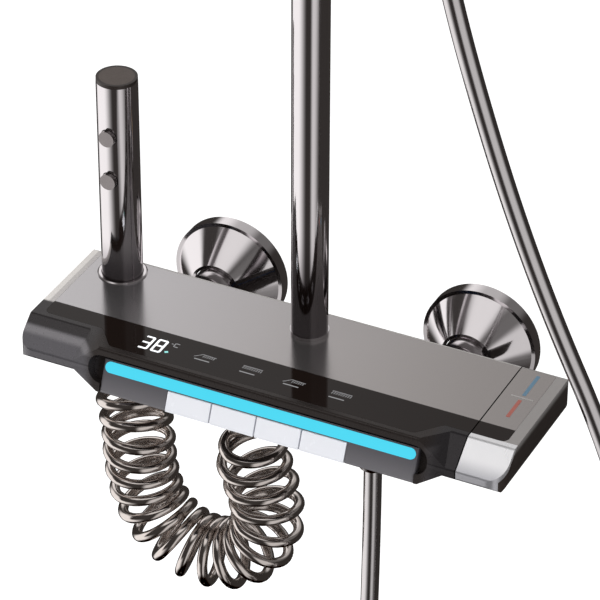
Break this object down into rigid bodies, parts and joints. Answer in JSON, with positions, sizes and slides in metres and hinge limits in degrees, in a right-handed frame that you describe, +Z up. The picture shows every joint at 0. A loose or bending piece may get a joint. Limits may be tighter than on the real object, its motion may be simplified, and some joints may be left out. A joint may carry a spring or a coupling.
{
  "type": "shower system",
  "caption": "Wall shower shelf with keys, thermostat handle, pull-out side sprayer on a curly hose, riser with rain head and a hand shower on a slider.",
  "frame": {"origin": "on the wall plane, half way between the axes of the two wall inlets", "axes": "+X to the user's right along the wall, +Y into the wall, +Z up"},
  "size_m": [0.3555, 0.555, 1.3177],
  "materials": {
    "dark_chrome": "dark polished chrome",
    "spray_disc": "dark satin",
    "silver_metal": "satin silver",
    "satin_grey": "satin grey",
    "dark_housing": "satin dark",
    "mirror_glass": "silvered, glossy",
    "black_glass": "dark, glossy",
    "display": "lit figures",
    "circuit_board": "matt",
    "lit_bar": "lit blue",
    "lamp": "matt",
    "white_key": "glossy white",
    "steel": "plain",
    "brass": "as cast and turned",
    "black_plastic": "matt",
    "silver_plastic": "chromed plastic",
    "spray_face": "satin, with rubber nozzles",
    "hose": "metal-look, glossy"
  },
  "bodies": {
    "fixed": {"wall_unions": "brass", "union_nuts": "dark_chrome", "inlet_filters": "steel", "left_rosette": "dark_chrome", "right_rosette": "dark_chrome", "neck_sleeves": "dark_chrome", "casing": "satin_grey", "lower_housing": "dark_housing", "valve_body": "brass", "bottom_spout": "brass", "housing_screws": "steel", "top_panel": "mirror_glass", "display_glass": "black_glass", "digit_module": "display", "display_board": "circuit_board", "key_block": "satin_grey", "lamp_strip": "lamp", "light_bar": "lit_bar", "key_spring_1": "steel", "key_spring_2": "steel", "key_spring_3": "steel", "key_spring_4": "steel", "key_valves": "brass", "thermostatic_cartridge": "black_plastic", "sprayer_collar": "dark_chrome", "curly_hose_nut": "dark_chrome", "curly_hose": "hose", "riser_ring": "dark_chrome", "riser_pipe": "dark_chrome", "overhead_arm": "dark_chrome", "wall_bracket": "dark_chrome", "bracket_screws": "steel", "lower_hose_nut": "dark_chrome", "shower_hose": "hose"},
    "key_1": {"key_1": "white_key"},
    "key_2": {"key_2": "white_key"},
    "key_3": {"key_3": "white_key"},
    "key_4": {"key_4": "white_key"},
    "temperature_handle": {"handle_spindle": "brass", "handle_core": "dark_housing", "handle_front": "silver_metal", "handle_plate": "mirror_glass", "handle_glass": "black_glass"},
    "sprayer": {"sprayer_tube": "dark_chrome", "spray_plate": "spray_disc", "spray_core": "black_plastic", "upper_button_spring": "steel", "lower_button_spring": "steel", "sprayer_hose_nut": "dark_chrome"},
    "upper_spray_button": {"upper_spray_button": "silver_metal"},
    "lower_spray_button": {"lower_spray_button": "silver_metal"},
    "rain_head": {"rain_head_swivel": "dark_chrome", "rain_head_shell": "dark_chrome", "rain_head_face": "spray_face"},
    "slider": {"slider": "dark_chrome"},
    "clamp_knob": {"clamp_knob": "dark_chrome"},
    "holder": {"handset_holder": "silver_plastic"},
    "handset": {"handset_body": "silver_plastic", "handset_face": "spray_face", "upper_hose_nut": "dark_chrome"}
  },
  "joints": [
    {"name": "key_1_press", "type": "slide", "parent": "fixed", "child": "key_1", "axis": [0, 1, 0], "range_m": [0, 0.003], "stiffness_N_per_m": 400, "springref_m": -0.001, "deforming": ["key_spring_1"]},
    {"name": "key_2_press", "type": "slide", "parent": "fixed", "child": "key_2", "axis": [0, 1, 0], "range_m": [0, 0.003], "stiffness_N_per_m": 400, "springref_m": -0.001, "deforming": ["key_spring_2"]},
    {"name": "key_3_press", "type": "slide", "parent": "fixed", "child": "key_3", "axis": [0, 1, 0], "range_m": [0, 0.003], "stiffness_N_per_m": 400, "springref_m": -0.001, "deforming": ["key_spring_3"]},
    {"name": "key_4_press", "type": "slide", "parent": "fixed", "child": "key_4", "axis": [0, 1, 0], "range_m": [0, 0.003], "stiffness_N_per_m": 400, "springref_m": -0.001, "deforming": ["key_spring_4"]},
    {"name": "temperature_turn", "type": "hinge", "parent": "fixed", "child": "temperature_handle", "pos_m": [0.1, -0.078, 0.006], "axis": [1, 0, 0], "range_deg": [-42, 42]},
    {"name": "sprayer_lift", "type": "slide", "parent": "fixed", "child": "sprayer", "axis": [0, 0, 1], "range_m": [0, 0.07], "deforming": ["curly_hose"]},
    {"name": "upper_spray_button_press", "type": "slide", "parent": "sprayer", "child": "upper_spray_button", "axis": [0, 1, 0], "range_m": [0, 0.0018], "stiffness_N_per_m": 400, "springref_m": -0.001, "deforming": ["upper_button_spring"]},
    {"name": "lower_spray_button_press", "type": "slide", "parent": "sprayer", "child": "lower_spray_button", "axis": [0, 1, 0], "range_m": [0, 0.0018], "stiffness_N_per_m": 400, "springref_m": -0.001, "deforming": ["lower_button_spring"]},
    {"name": "rain_head_tilt", "type": "hinge", "parent": "fixed", "child": "rain_head", "pos_m": [0, -0.4, 0.904], "axis": [1, 0, 0], "range_deg": [-15, 15]},
    {"name": "slider_travel", "type": "slide", "parent": "fixed", "child": "slider", "axis": [0, 0, 1], "range_m": [-0.45, 0.05], "deforming": ["shower_hose"]},
    {"name": "clamp_turn", "type": "hinge", "parent": "slider", "child": "clamp_knob", "pos_m": [-0.02, -0.0596, 0.64], "axis": [1, 0, 0], "range_deg": [-60, 60]},
    {"name": "holder_tilt", "type": "hinge", "parent": "slider", "child": "holder", "pos_m": [0.022, -0.0596, 0.64], "axis": [1, 0, 0], "range_deg": [-5, 25], "deforming": ["shower_hose"]},
    {"name": "handset_lift", "type": "slide", "parent": "holder", "child": "handset", "axis": [0, -0.2079, 0.9781], "range_m": [0, 0.05], "deforming": ["shower_hose"]}
  ]
}
